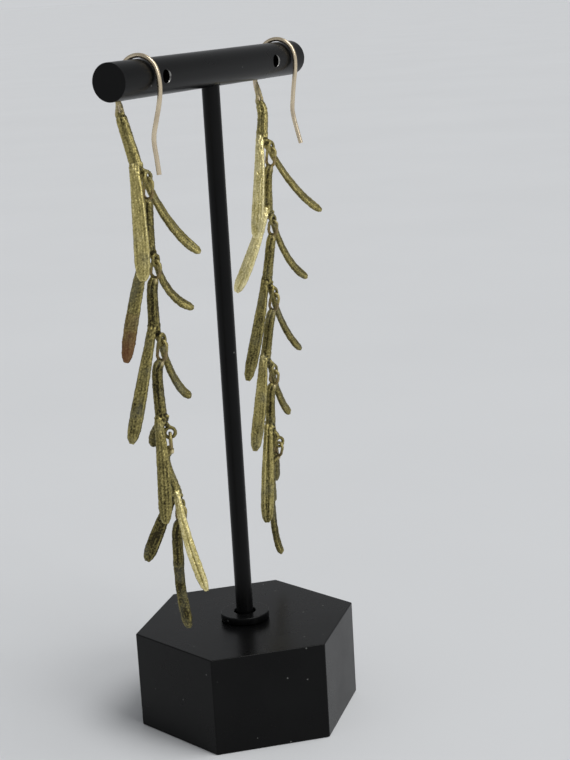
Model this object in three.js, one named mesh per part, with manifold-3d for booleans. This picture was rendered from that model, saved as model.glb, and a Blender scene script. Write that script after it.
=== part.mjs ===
// A pair of long dangle earrings, each a chain of six cast twigs with leaves, hung by their ear
// wires on a small black T-bar stand. Millimetres, +Z up, origin at the middle of the base's
// underside, +X along the bar.
import * as THREE from 'three';
import { mergeVertices } from 'three/addons/utils/BufferGeometryUtils.js';
import Module from 'manifold-3d';

const wasm = await Module();
wasm.setup();

// ---- Stand ----
const BASE_ACROSS_FLATS = 40;
const BASE_HEIGHT = 20;
const BASE_TURN = 12.2;          // degrees, one corner of the hexagon from +X
const COLLAR = { radius: 5, height: 1.5, hole: 2.25 };
const POST_RADIUS = 1.75;
const POST_SEAT = 12;            // depth of the post in the base
const BAR = { radius: 3.5, length: 68.3, middle: -0.8, height: 132.5 };
const BAR_HOLE = { radius: 1.25, rim: 1.5, rimDepth: 0.3, out: 21 };
const FIT_GAP = 0.2;             // clearance of the post in its seats and under the collar

// ---- Ear wires ----
const WIRE_RADIUS = 0.45;
const SOCKET = { wall: 0.3, gap: 0.14, depth: 1.3, floorGap: 0.3 };

// ---- Twig castings ----
const HANG_AT = { near: -25, far: 27.7 };   // along the bar
const EARRING_TURN = -62;        // degrees, the leafy face is turned from the bar's side
const EYE = { radius: 1.0, wire: 0.36, depth: -0.3, neck: 0.5 };
const RING = { halfWidth: 0.95, wire: 0.34 };
const RING_GAP = 0.14;           // clearance between a ring and the eye it hangs in
const EYE_TURN = 62;             // degrees, the eyes' plane from the leafy face
const STEM = { top: 0.68, middle: 1.0, bottom: 1.1, end: 1.05 };
const TOP_STEM = { middle: 1.08, bottom: 1.25 };   // the broad first stem, under the ear wire
const NODE = { wide: 1.25, deep: 1.15, tall: 1.5 };
const SHOULDER = 1.6;            // how far the shoulder of a stem lies below its ring
const LEAF_THICKNESS = 1.1;

// The bent ear wires, in the plane across the bar: y across it, z above its axis. They run from
// the socket of the top twig, over the bar and down to the free tip.
const NEAR_WIRE = [
  { y: 4.45, z: -7.1 }, { y: 4.85, z: -5.6 }, { y: 5.0, z: -4.0 }, { y: 4.9, z: -2.2 },
  { y: 4.5, z: -0.3 }, { y: 3.8, z: 1.6 }, { y: 2.55, z: 3.22 }, { y: 0.95, z: 3.98 },
  { y: -0.75, z: 4.03 }, { y: -2.35, z: 3.36 }, { y: -3.5, z: 2.14 }, { y: -4.05, z: 0.6 },
  { y: -4.25, z: -0.9 }, { y: -4.2, z: -2.7 }, { y: -3.75, z: -5.0 }, { y: -3.0, z: -7.6 },
  { y: -2.3, z: -10.2 }, { y: -2.22, z: -11.8 }, { y: -2.45, z: -13.8 }, { y: -2.8, z: -17.35 },
];
const FAR_WIRE = [
  { y: 4.5, z: -9.4 }, { y: 5.05, z: -7.2 }, { y: 5.5, z: -4.9 }, { y: 5.5, z: -2.5 },
  { y: 4.9, z: -0.3 }, { y: 3.95, z: 1.6 }, { y: 2.6, z: 3.2 }, { y: 0.95, z: 3.98 },
  { y: -0.75, z: 4.03 }, { y: -2.35, z: 3.36 }, { y: -3.5, z: 2.14 }, { y: -4.05, z: 0.6 },
  { y: -4.13, z: -0.9 }, { y: -4.0, z: -2.6 }, { y: -3.6, z: -5.0 }, { y: -3.2, z: -7.8 },
  { y: -2.95, z: -10.2 }, { y: -3.15, z: -11.9 }, { y: -3.75, z: -14.4 }, { y: -4.5, z: -17.25 },
];

// One row for each twig: its eye, across the leafy face and below the bar's axis; its node, across
// the face and above the eye; the shoulder that the stem passes through below its ring; and the
// height of its soldered ring, with the degrees that it swings on the eye above.
const NEAR_TWIGS = [
  { eye: 0.25, drop: 17.8, node: -1.6, above: 1.8 },
  { eye: 0.55, drop: 33.1, node: -0.45, above: 2.1, ring: 3.8, swing: 6, shoulder: -0.2 },
  { eye: 0.65, drop: 48.1, node: -0.65, above: 2.0, ring: 3.1, swing: 12, shoulder: -0.4 },
  { eye: 0.85, drop: 66.0, node: -0.6, above: 2.6, ring: 3.8, swing: 10, shoulder: -0.6, eyeTurn: 8 },
  { eye: 1.9, drop: 80.4, node: 1.15, above: 2.2, ring: 2.9, swing: 0, shoulder: -0.5 },
  { eye: 0, drop: 92.7, node: 0.65, above: 0, ring: 3.0, swing: 10, shoulder: 0.9 },
];
const FAR_TWIGS = [
  { eye: -2.3, drop: 17.9, node: -4.1, above: 1.8 },
  { eye: -2.8, drop: 33.2, node: -3.8, above: 2.1, ring: 3.8, swing: 10, shoulder: -3.3 },
  { eye: -3.35, drop: 48.8, node: -4.85, above: 2.2, ring: 3.0, swing: 10, shoulder: -3.5 },
  { eye: -4.35, drop: 65.6, node: -6.1, above: 2.8, ring: 3.6, swing: 14, shoulder: -4.5 },
  { eye: -4.2, drop: 81.7, node: -5.9, above: 3.6, ring: 2.9, swing: 12, shoulder: -5.4, eyeTurn: 40 },
  { eye: 0, drop: 94.9, node: -6.6, above: 0, ring: 3.0, swing: 22, shoulder: -6.1 },
];

// One row for each leaf: its twig, the place of its tip (across, away from the face, below the
// bar's axis), how far its middle bows off the straight line, its width, and its roll about its
// own length (0 shows the broad face, 90 the edge).
const NEAR_LEAVES = [
  { twig: 1, side: 'front', tip: [-1.6, -4.8, 36.1], bow: [0.3, -0.8, -0.2], width: 3.0, roll: 0 },
  { twig: 1, side: 'back', tip: [8.7, 3.4, 32.6], bow: [-0.4, 0.2, -2.1], width: 2.5, roll: -68 },
  { twig: 2, side: 'front', tip: [-6.0, -3.7, 51.4], bow: [0.0, -0.5, 1.4], width: 2.7, roll: 5 },
  { twig: 2, side: 'back', tip: [6.7, 3.2, 43.0], bow: [-1.1, 0.1, -1.9], width: 2.4, roll: -80 },
  { twig: 3, side: 'front', tip: [-6.2, -3.7, 66.9], bow: [0.1, -0.5, -0.1], width: 2.7, roll: 5 },
  { twig: 3, side: 'back', tip: [5.0, 3.2, 60.0], bow: [-0.5, 0.1, -2.3], width: 2.4, roll: -80 },
  { twig: 4, side: 'front', tip: [-0.9, -4.0, 82.7], bow: [0.3, -0.7, 0.5], width: 2.75, roll: 0 },
  { twig: 4, side: 'back', tip: [-2.9, 7.5, 70.5], bow: [-0.7, -0.2, 0.5], width: 2.4, roll: -20 },
  { twig: 5, side: 'left', tip: [-5.4, -0.6, 91.1], bow: [0.4, -0.2, 1.0], width: 2.7, roll: 15 },
  { twig: 5, side: 'right', tip: [5.9, -3.4, 96.8], bow: [-0.6, -0.5, 0.4], width: 2.15, roll: 0 },
  { twig: 6, side: 'end', tip: [1.7, 0.0, 105.4], bow: [-0.4, 0.1, 0.5], width: 2.3, roll: 15 },
];
const FAR_LEAVES = [
  { twig: 1, side: 'front', tip: [-6.5, -4.8, 36.3], bow: [0.3, -0.8, 0.5], width: 2.65, roll: 0 },
  { twig: 1, side: 'back', tip: [7.6, 3.4, 32.2], bow: [-0.1, 0.2, -2.1], width: 2.5, roll: -74 },
  { twig: 2, side: 'front', tip: [-11.3, -3.7, 47.6], bow: [0.4, -0.5, 0.0], width: 2.7, roll: 0 },
  { twig: 2, side: 'back', tip: [3.8, 3.2, 46.4], bow: [-0.7, 0.1, -2.2], width: 2.4, roll: -75 },
  { twig: 3, side: 'front', tip: [-10.1, -3.7, 66.9], bow: [0.6, -0.5, 1.4], width: 2.7, roll: 8 },
  { twig: 3, side: 'back', tip: [1.6, 3.2, 62.1], bow: [-0.6, 0.1, -1.6], width: 2.4, roll: -78 },
  { twig: 4, side: 'front', tip: [-9.5, -3.7, 82.5], bow: [0.4, -0.5, 1.1], width: 2.75, roll: 0 },
  { twig: 4, side: 'back', tip: [-1.6, 3.2, 76.1], bow: [0.0, 0.1, -2.4], width: 2.3, roll: -74 },
  { twig: 5, side: 'front', tip: [-7.8, -3.9, 98.7], bow: [0.0, -0.6, 0.3], width: 2.95, roll: 0 },
  { twig: 5, side: 'back', tip: [-5.4, 8.0, 92.5], bow: [0.2, -0.5, -1.2], width: 2.2, roll: -68 },
  { twig: 6, side: 'end', tip: [-5.0, 0.0, 107.1], bow: [-0.4, 0.1, -2.3], width: 2.0, roll: -60 },
];

// Where a leaf grows from its node: across and away from the face, and below the node's middle.
const LEAF_ROOT = {
  front: new THREE.Vector3(-0.45, -0.85, 0.1),
  back: new THREE.Vector3(0.5, 1.4, -0.5),
  left: new THREE.Vector3(-0.75, -0.2, -0.3),
  right: new THREE.Vector3(0.15, -0.85, 0.3),
  end: new THREE.Vector3(0, 0, 0.6),
};

// Sections along a leaf and along a stem: `t` from root to tip, sizes as shares of the full size.
const LEAF_SECTIONS = [
  { t: 0, width: 0.66, thick: 0.9 }, { t: 0.14, width: 0.74, thick: 0.95 },
  { t: 0.4, width: 0.9, thick: 1 }, { t: 0.7, width: 1, thick: 1 },
  { t: 0.86, width: 0.98, thick: 1 }, { t: 0.95, width: 0.78, thick: 0.9 },
  { t: 1, width: 0.36, thick: 0.55 },
];
const ROUND_SECTIONS = (first, middle, last) => [
  { t: 0, width: first, thick: first }, { t: 0.3, width: middle, thick: middle },
  { t: 0.7, width: middle, thick: middle }, { t: 1, width: last, thick: last },
];

const BRONZE = { color: 0x9a8a45, roughness: 0.42, metalness: 0.9 };
const GOLD_WIRE = { color: 0xd8c6a0, roughness: 0.3, metalness: 0.95 };
const BLACK = { color: 0x17181a, roughness: 0.55, metalness: 0.2 };

const group = new THREE.Group();
const radians = THREE.MathUtils.degToRad;
const vector = (x, y, z) => new THREE.Vector3(x, y, z);

// A closed geometry as a solid that can be joined and cut.
function solid(geometry) {
  const bare = geometry.clone();
  bare.deleteAttribute('normal');
  bare.deleteAttribute('uv');
  const merged = mergeVertices(bare, 1e-5);
  return new wasm.Manifold(new wasm.Mesh({
    numProp: 3,
    vertProperties: merged.attributes.position.array,
    triVerts: Uint32Array.from(merged.index.array),
  }));
}

// A solid as a named mesh of the object.
function addMesh(name, body, finish) {
  const { vertProperties, triVerts } = body.getMesh();
  const geometry = new THREE.BufferGeometry();
  geometry.setAttribute('position', new THREE.BufferAttribute(vertProperties, 3));
  geometry.setIndex(new THREE.BufferAttribute(triVerts, 1));
  const mesh = new THREE.Mesh(geometry, new THREE.MeshStandardMaterial(finish));
  mesh.name = name;
  group.add(mesh);
}

function cylinder(radius, height, sides) {
  return new THREE.CylinderGeometry(radius, radius, height, sides).rotateX(Math.PI / 2);
}

// A limb is a cylinder drawn along a curve: each ring of it becomes one section of the table.
function limb(curve, sections, width, thickness, roll, around) {
  const rows = sections.length - 1;
  const geometry = new THREE.CylinderGeometry(1, 1, 1, around, rows);
  const place = geometry.attributes.position;
  for (let i = 0; i < place.count; i += 1) {
    const row = sections[Math.round((0.5 - place.getY(i)) * rows)];
    const tangent = curve.getTangent(row.t);
    const flat = vector(1, 0, 0).addScaledVector(tangent, -tangent.x).normalize();
    const wide = flat.clone().applyAxisAngle(tangent, radians(roll));
    const deep = tangent.clone().cross(wide);
    const point = curve.getPoint(row.t)
      .addScaledVector(wide, place.getX(i) * row.width * width / 2)
      .addScaledVector(deep, place.getZ(i) * row.thick * thickness / 2);
    place.setXYZ(i, point.x, point.y, point.z);
  }
  return solid(geometry);
}

// A ring or eye: a torus standing on edge, drawn out to `height` between its wire centres.
function loop(radius, wire, height, turn, top) {
  const geometry = new THREE.TorusGeometry(radius, wire, 6, 12);
  const place = geometry.attributes.position;
  const stretch = height / 2 - radius;
  for (let i = 0; i < place.count; i += 1) {
    const lift = place.getY(i) > -1e-6 ? stretch : -stretch;
    place.setY(i, place.getY(i) + lift);
  }
  geometry.rotateX(Math.PI / 2).rotateZ(radians(turn));
  return geometry.translate(top.x, top.y, top.z - height / 2);
}

function lump(centre, wide, deep, tall) {
  const geometry = new THREE.SphereGeometry(1, 8, 6).rotateX(Math.PI / 2);
  geometry.scale(wide, deep, tall).translate(centre.x, centre.y, centre.z);
  return solid(geometry);
}

function bowedCurve(root, tip, bow) {
  const middle = root.clone().add(tip).multiplyScalar(0.5).addScaledVector(bow, 2);
  return new THREE.QuadraticBezierCurve3(root, middle, tip);
}

// ---- Stand ----
function buildStand() {
  const corner = BASE_ACROSS_FLATS / 2 / Math.cos(Math.PI / 6);
  const block = cylinder(corner, BASE_HEIGHT, 6).rotateZ(radians(BASE_TURN - 30));
  const seat = cylinder(POST_RADIUS + FIT_GAP, POST_SEAT + 1, 20);
  const base = solid(block.translate(0, 0, BASE_HEIGHT / 2))
    .subtract(solid(seat.translate(0, 0, BASE_HEIGHT - (POST_SEAT - 1) / 2)));
  addMesh('stand_base', base, BLACK);

  const collarMiddle = BASE_HEIGHT + FIT_GAP + COLLAR.height / 2;
  const disc = cylinder(COLLAR.radius, COLLAR.height, 32).translate(0, 0, collarMiddle);
  const bore = cylinder(COLLAR.hole, COLLAR.height * 3, 20).translate(0, 0, collarMiddle);
  addMesh('stand_collar', solid(disc).subtract(solid(bore)), BLACK);

  const foot = BASE_HEIGHT - POST_SEAT + FIT_GAP;
  const head = BAR.height - BAR.radius / 2;
  const post = cylinder(POST_RADIUS, head - foot, 20).translate(0, 0, (head + foot) / 2);
  addMesh('stand_post', solid(post), BLACK);

  const lying = new THREE.CylinderGeometry(BAR.radius, BAR.radius, BAR.length, 40).rotateZ(Math.PI / 2);
  let bar = solid(lying.translate(BAR.middle, 0, BAR.height));
  const socket = cylinder(POST_RADIUS + FIT_GAP, BAR.radius * 2, 20);
  bar = bar.subtract(solid(socket.translate(0, 0, head + FIT_GAP - BAR.radius)));
  for (const side of [-1, 1]) {
    const through = new THREE.CylinderGeometry(BAR_HOLE.radius, BAR_HOLE.radius, BAR.radius * 3, 16);
    bar = bar.subtract(solid(through.translate(side * BAR_HOLE.out, 0, BAR.height)));
    for (const face of [-1, 1]) {
      const mouth = new THREE.CylinderGeometry(BAR_HOLE.rim, BAR_HOLE.rim, 1, 16);
      const middle = face * (BAR.radius + 0.5 - BAR_HOLE.rimDepth);
      bar = bar.subtract(solid(mouth.translate(side * BAR_HOLE.out, middle, BAR.height)));
    }
  }
  addMesh('stand_bar', bar, BLACK);
}

// ---- Ear wire ----
function wireCurve(rows, x) {
  return new THREE.CatmullRomCurve3(rows.map(({ y, z }) => vector(x, y, BAR.height + z)));
}

function buildWire(name, curve) {
  const section = new THREE.Shape().absarc(0, 0, WIRE_RADIUS, 0, Math.PI * 2);
  const wire = new THREE.ExtrudeGeometry(section, { steps: 36, extrudePath: curve, curveSegments: 4 });
  addMesh(name, solid(wire), GOLD_WIRE);
}

// ---- Twigs ----
function buildEarring(name, x, wireRows, twigs, leaves) {
  const curve = wireCurve(wireRows, x);
  buildWire(`${name}_ear_hook`, curve);
  const frame = new THREE.Matrix4().makeRotationZ(radians(EARRING_TURN)).setPosition(x, 0, BAR.height);
  const inward = frame.clone().invert();
  const wireEnd = curve.getPoint(0).applyMatrix4(inward);
  const wireHeading = curve.getTangent(0).transformDirection(inward);
  twigs.forEach((twig, index) => {
    const node = vector(twig.node, 0, twig.above - twig.drop);
    const parts = index === 0
      ? topStem(wireEnd, wireHeading, node)
      : hungStem(twigs[index - 1], twig, node);
    if (index < twigs.length - 1) {
      parts.push(...eyeParts(twig, node));
    }
    for (const leaf of leaves.filter((row) => row.twig === index + 1)) {
      parts.push(leafPart(leaf, node));
    }
    let body = wasm.Manifold.union(parts);
    if (index === 0) {
      body = body.subtract(wireSocket(wireEnd, wireHeading));
    }
    if (index < twigs.length - 1) {
      body = body.subtract(ringRoom(twig, twigs[index + 1]));
    }
    addMesh(`${name}_link_${index + 1}`, body.transform(frame.toArray()), BRONZE);
  });
}

function eyeTurnOf(twig) {
  return twig.eyeTurn ?? EYE_TURN;
}

// The lowest wire of a twig's eye, which the next ring hangs on.
function hangingPoint(twig) {
  return vector(twig.eye, EYE.depth, -twig.drop - EYE.radius);
}

// Moves what hangs straight down from an eye to where its swing takes it.
function swung(above, twig) {
  const pivot = hangingPoint(above);
  const turn = radians(eyeTurnOf(above));
  const axis = vector(Math.cos(turn), Math.sin(turn), 0);
  return new THREE.Matrix4().makeTranslation(pivot)
    .multiply(new THREE.Matrix4().makeRotationAxis(axis, radians(twig.swing)))
    .multiply(new THREE.Matrix4().makeTranslation(pivot.negate()));
}

// The middle of a ring's top wire, which rides just over the wire of the eye that holds it.
function ringTop(above) {
  return hangingPoint(above).add(vector(0, 0, EYE.wire + RING.wire + RING_GAP));
}

function eyeParts(twig, node) {
  const top = hangingPoint(twig).add(vector(0, 0, EYE.radius * 2));
  const neck = ROUND_SECTIONS(EYE.neck * 2, EYE.neck * 2, EYE.neck * 1.6);
  return [
    solid(loop(EYE.radius, EYE.wire, EYE.radius * 2, eyeTurnOf(twig), top)),
    limb(new THREE.LineCurve3(node, top), neck, 1, 1, 0, 7),
    lump(node, NODE.wide, NODE.deep, NODE.tall),
  ];
}

// Free room round the ring that hangs in an eye.
function ringRoom(above, twig) {
  const top = ringTop(above).add(vector(0, 0, RING_GAP));
  const room = loop(RING.halfWidth, RING.wire + RING_GAP, twig.ring + RING_GAP, eyeTurnOf(above) - 90, top);
  return solid(room.applyMatrix4(swung(above, twig)));
}

function hungStem(above, twig, node) {
  const top = ringTop(above);
  const swing = swung(above, twig);
  const ring = loop(RING.halfWidth, RING.wire, twig.ring, eyeTurnOf(above) - 90, top);
  const foot = top.clone().add(vector(0, 0, -twig.ring)).applyMatrix4(swing);
  const shoulder = vector(twig.shoulder, 0, foot.z - SHOULDER);
  const bottom = twig.above > 0 ? STEM.bottom : STEM.end;
  const stem = ROUND_SECTIONS(STEM.top * 2, STEM.middle * 2, bottom * 2);
  return [
    solid(ring.applyMatrix4(swing)),
    limb(new THREE.CatmullRomCurve3([foot, shoulder, node]), stem, 1, 1, 0, 8),
  ];
}

function topStem(wireEnd, wireHeading, node) {
  const rim = wireEnd.clone().addScaledVector(wireHeading, SOCKET.depth - SOCKET.floorGap);
  const outer = (WIRE_RADIUS + SOCKET.gap + SOCKET.wall) * 2;
  const sections = ROUND_SECTIONS(outer, TOP_STEM.middle * 2, TOP_STEM.bottom * 2);
  const bend = wireEnd.clone().addScaledVector(wireHeading, -SOCKET.depth);
  const curve = new THREE.CatmullRomCurve3([rim, bend, node]);
  return [limb(curve, sections, 1, 1, 0, 10)];
}

function wireSocket(wireEnd, wireHeading) {
  const reach = SOCKET.depth * 2;
  const bore = new THREE.CylinderGeometry(1, 1, reach, 12);
  bore.scale(WIRE_RADIUS + SOCKET.gap, 1, WIRE_RADIUS + SOCKET.gap);
  bore.applyQuaternion(new THREE.Quaternion().setFromUnitVectors(vector(0, 1, 0), wireHeading));
  const middle = wireEnd.clone().addScaledVector(wireHeading, reach / 2 - SOCKET.floorGap);
  return solid(bore.translate(middle.x, middle.y, middle.z));
}

function leafPart(leaf, node) {
  const root = node.clone().add(LEAF_ROOT[leaf.side]);
  const [across, away, drop] = leaf.tip;
  const bow = vector(...leaf.bow);
  const curve = bowedCurve(root, vector(across, away, -drop), bow);
  return limb(curve, LEAF_SECTIONS, leaf.width, LEAF_THICKNESS, leaf.roll, 8);
}

buildStand();
buildEarring('near', HANG_AT.near, NEAR_WIRE, NEAR_TWIGS, NEAR_LEAVES);
buildEarring('far', HANG_AT.far, FAR_WIRE, FAR_TWIGS, FAR_LEAVES);

export default group;
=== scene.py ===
"""Looks for a pair of long dangle earrings, cast as twigs of narrow leaves, on a black T-bar stand.

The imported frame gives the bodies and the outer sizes. Each link of an earring is cast here as a
bundle of rods along its twig, leaves, ring and eye, which is fused into one skin, roughened and
coloured by the part of the plant that each place belongs to. The stand is turned and milled from
primitives. Everything is in metres in the frame's own axes; the castings are shaped in millimetres
in the earring's own axes (across its leafy face, away from it, up) and then put in place.
"""

import logging
import math
from dataclasses import dataclass, field
from enum import Enum
from typing import Callable, Sequence

import bpy
import numpy as np
from mathutils import Matrix, Vector


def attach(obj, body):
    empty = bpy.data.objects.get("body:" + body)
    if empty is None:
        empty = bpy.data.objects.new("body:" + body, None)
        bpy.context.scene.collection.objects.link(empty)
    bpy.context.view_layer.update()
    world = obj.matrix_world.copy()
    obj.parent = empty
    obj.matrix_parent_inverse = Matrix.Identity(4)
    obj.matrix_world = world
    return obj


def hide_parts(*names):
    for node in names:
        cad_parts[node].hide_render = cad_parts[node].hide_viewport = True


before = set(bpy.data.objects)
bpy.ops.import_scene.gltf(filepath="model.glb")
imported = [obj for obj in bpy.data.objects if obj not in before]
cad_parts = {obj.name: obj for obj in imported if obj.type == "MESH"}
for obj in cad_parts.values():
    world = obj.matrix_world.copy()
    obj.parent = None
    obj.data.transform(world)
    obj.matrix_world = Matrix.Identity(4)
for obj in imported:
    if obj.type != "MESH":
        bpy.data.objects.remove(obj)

log = logging.getLogger("earrings")

MM = 0.001
UP = Vector((0, 0, 1))
Line = Callable[[float], Vector]


# ---------------------------------------------------------------------------------------------
# Lines that limbs follow
# ---------------------------------------------------------------------------------------------


def bowed_line(root: Vector, tip: Vector, bow: Vector) -> Line:
    """A leaf's centre-line, which bows off the straight line between its ends.

    Args:
        root: Where the leaf leaves its node.
        tip: Its far end.
        bow: How far its middle lies off the chord.

    Returns:
        The point at each share of the line, from 0 at the root to 1 at the tip.
    """
    pull = (root + tip) / 2 + 2 * bow
    return lambda t: (1 - t) ** 2 * root + 2 * t * (1 - t) * pull + t * t * tip


def smooth_line(points: Sequence[Vector]) -> Line:
    """A smooth line through points, eased by their distances so that it never overshoots.

    Args:
        points: At least two points, in order.

    Returns:
        The point at each share of the line, counted evenly from point to point.
    """
    ends = [2 * points[0] - points[1], *points, 2 * points[-1] - points[-2]]

    def at(t: float) -> Vector:
        """The point at a share of the line."""
        place = t * (len(points) - 1)
        leg = min(max(int(place), 0), len(points) - 2)
        s = place - leg
        p0, p1, p2, p3 = ends[leg : leg + 4]
        d0, d1, d2 = (max((b - a).length, 1e-6) ** 0.5 for a, b in ((p0, p1), (p1, p2), (p2, p3)))
        out = ((p1 - p0) / d0 - (p2 - p0) / (d0 + d1) + (p2 - p1) / d1) * d1
        into = ((p2 - p1) / d1 - (p3 - p1) / (d1 + d2) + (p3 - p2) / d2) * d1
        return (
            p1
            + s * out
            + s**2 * (3 * (p2 - p1) - 2 * out - into)
            + s**3 * (2 * (p1 - p2) + out + into)
        )

    return at


def heading(line: Line, t: float) -> Vector:
    """The direction of a line at a share of its length."""
    step = 1e-3
    low, high = max(t - step, 0), min(t + step, 1)
    return (line(high) - line(low)).normalized()


@dataclass(frozen=True)
class Cross:
    """A cross-section's place on a line, with its broad way and the way its face looks."""

    centre: Vector
    along: Vector
    wide: Vector
    out: Vector

    @classmethod
    def of(cls, line: Line, t: float, roll: float) -> "Cross":
        """The section of a limb at a share of its line.

        Args:
            line: The limb's centre-line.
            t: The share of the line.
            roll: Degrees that the broad way is turned about the line.

        Returns:
            The section.
        """
        along = heading(line, t)
        flat = (Vector((1, 0, 0)) - along.x * along).normalized()
        wide = Matrix.Rotation(math.radians(roll), 3, along) @ flat
        return cls(line(t), along, wide, along.cross(wide))

    @classmethod
    def level(cls, centre: Vector) -> "Cross":
        """The level section of a lump, which faces the way the front leaves do."""
        return cls(centre, -UP, Vector((1, 0, 0)), Vector((0, -1, 0)))


# ---------------------------------------------------------------------------------------------
# What a casting is made of
# ---------------------------------------------------------------------------------------------


@dataclass(frozen=True)
class ToneAndShading:
    """The colour of one limb: bright from dark olive to gold, rust at its tip, pale solder. Its
    brightness is partly the limb's own tone and partly painted light and shade: limbs turned away
    from the light are set darker, limbs facing it brighter.
    """

    bright: float = 0.5
    rust: float = 0.0
    pale: float = 0.0


@dataclass(frozen=True)
class Rib:
    """One rod of a blade: its place across, how far it stands out (mm), its share of size."""

    across: float
    out: float
    size: float


class Face(Enum):
    """How a leaf's face is modelled, as the rods that make up its blade."""

    GRAINED = (
        Rib(-1, 0.0, 1), Rib(-0.5, 0.04, 1), Rib(0, 0.03, 0.98), Rib(0.5, 0.04, 1), Rib(1, 0.0, 1),
        Rib(-1.25, 0.4, 0.3), Rib(1.25, 0.4, 0.3),
    )
    GROOVED = (
        Rib(-1, 0.0, 1), Rib(-0.5, 0.08, 0.95), Rib(0, -0.02, 0.62), Rib(0.5, 0.08, 0.95),
        Rib(1, 0.0, 1),
    )
    CHANNELLED = (
        Rib(-1, 0.0, 0.95), Rib(-0.72, 0.3, 0.52), Rib(0, -0.04, 0.7), Rib(0.72, 0.3, 0.52),
        Rib(1, 0.0, 0.95),
    )
    RIDGED = (
        Rib(-1, 0.0, 0.95), Rib(-0.4, 0.22, 0.8), Rib(0, 0.0, 0.72), Rib(0.4, 0.22, 0.8),
        Rib(1, 0.0, 0.95),
    )
    STREAKED = (
        Rib(-1, 0.0, 0.95), Rib(-0.66, 0.14, 0.78), Rib(-0.33, 0.2, 0.7), Rib(0, 0.16, 0.68),
        Rib(0.33, 0.2, 0.7), Rib(0.66, 0.14, 0.78), Rib(1, 0.0, 0.95),
    )


class Side(Enum):
    """Which way a leaf leaves its node, with the offset of its root from the node (mm)."""

    FRONT = (-0.45, -0.85, 0.1)
    BACK = (0.5, 1.4, -0.5)
    LEFT = (-0.75, -0.2, -0.3)
    RIGHT = (0.15, -0.85, 0.3)
    END = (0.0, 0.0, 0.6)


# A leaf's width and thickness, as shares of its full size, at shares of its length.
LEAF_ALONG = (0, 0.14, 0.4, 0.7, 0.86, 0.95, 1)
LEAF_WIDE = (0.66, 0.74, 0.9, 1, 0.98, 0.78, 0.36)
LEAF_THICK = (0.9, 0.95, 1, 1, 1, 0.9, 0.55)
# The shares of its length where its sections are, and the least width of an end leaf's first ones.
LEAF_SECTIONS = (0, 0.07, 0.14, 0.27, 0.4, 0.55, 0.7, 0.8, 0.86, 0.91, 0.95, 0.98, 1)
END_LEAF_WIDE = 0.93
END_LEAF_SECTIONS = 8
# Sections that draw its root out into the node: how far back (mm), half thickness, share of width.
LEAF_ROOTS = ((0.9, 0.46, 0.5), (1.9, 0.3, 0.3))
# The shares of a leaf where its rusty tip begins, and over which it comes in.
RUST_FROM, RUST_OVER = 0.62, 0.3


@dataclass(frozen=True)
class Leaf:
    """A leaf: its side, the place of its tip and its bow (mm), its width, roll, face, and its
    colour, whose brightness holds painted light and shade.
    """

    side: Side
    tip: tuple[float, float, float]
    bow: tuple[float, float, float]
    width: float
    roll: float
    face: Face
    tone: ToneAndShading


@dataclass(frozen=True)
class Twig:
    """A link's stem: its eye, node, shoulder and ring, as in the part's own table (mm, degrees)."""

    eye: float
    drop: float
    node: float
    above: float
    tone: ToneAndShading
    leaves: tuple[Leaf, ...]
    ring: float = 0.0
    swing: float = 0.0
    shoulder: float = 0.0
    eye_turn: float = 62.0


@dataclass(frozen=True)
class Rod:
    """A round rod of a casting: its points and radii (mm), and whether it closes into a ring."""

    points: tuple[Vector, ...]
    radii: tuple[float, ...]
    closed: bool = False


@dataclass(frozen=True)
class Lump:
    """A rounded lump of a casting: its middle and its half sizes (mm)."""

    centre: Vector
    reach: tuple[float, float, float]


@dataclass(frozen=True)
class Station:
    """A place that the surface around it belongs to, for its colour and the lie of its grain."""

    cross: Cross
    reach: tuple[float, float, float]
    run: float
    tone: tuple[float, float, float]


# ---------------------------------------------------------------------------------------------
# Casting
# ---------------------------------------------------------------------------------------------


def select_only(piece: bpy.types.Object) -> None:
    """Makes one object the only one selected and the active one."""
    bpy.ops.object.select_all(action="DESELECT")
    piece.select_set(True)
    bpy.context.view_layer.objects.active = piece


def apply_modifier(piece: bpy.types.Object, kind: str, **settings: object) -> None:
    """Adds a modifier to a piece and applies it.

    Args:
        piece: The object, which becomes the active one.
        kind: Blender's name for the modifier.
        **settings: Its settings.
    """
    select_only(piece)
    modifier = piece.modifiers.new(kind.lower(), kind)
    for name, value in settings.items():
        setattr(modifier, name, value)
    bpy.ops.object.modifier_apply(modifier=modifier.name)


def rods_to_mesh(name: str, rods: Sequence[Rod], roundness: int) -> bpy.types.Object:
    """Draws rods as one curve object and makes it a mesh of closed tubes.

    Args:
        name: The object's name.
        rods: The rods.
        roundness: Blender's bevel resolution of the tubes.

    Returns:
        The mesh object, in the rods' own millimetres.
    """
    curve = bpy.data.curves.new(name, "CURVE")
    curve.dimensions = "3D"
    curve.bevel_depth = 1
    curve.bevel_resolution = roundness
    curve.use_fill_caps = True
    for rod in rods:
        spline = curve.splines.new("POLY")
        spline.points.add(len(rod.points) - 1)
        for knot, point, radius in zip(spline.points, rod.points, rod.radii):
            knot.co = (*point, 1)
            knot.radius = radius
        spline.use_cyclic_u = rod.closed
    piece = bpy.data.objects.new(name, curve)
    bpy.context.scene.collection.objects.link(piece)
    select_only(piece)
    bpy.ops.object.convert(target="MESH")
    return bpy.context.view_layer.objects.active


def dress(piece: bpy.types.Object, material: bpy.types.Material) -> None:
    """Gives a piece its one material and makes it the only one selected."""
    piece.data.materials.clear()
    piece.data.materials.append(material)
    select_only(piece)


def read_rows(mesh: bpy.types.Mesh, name: str) -> np.ndarray:
    """A vector of each point of a mesh, such as its place, as rows."""
    rows = np.empty(len(mesh.vertices) * 3)
    mesh.vertices.foreach_get(name, rows)
    return rows.reshape(-1, 3)


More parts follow.
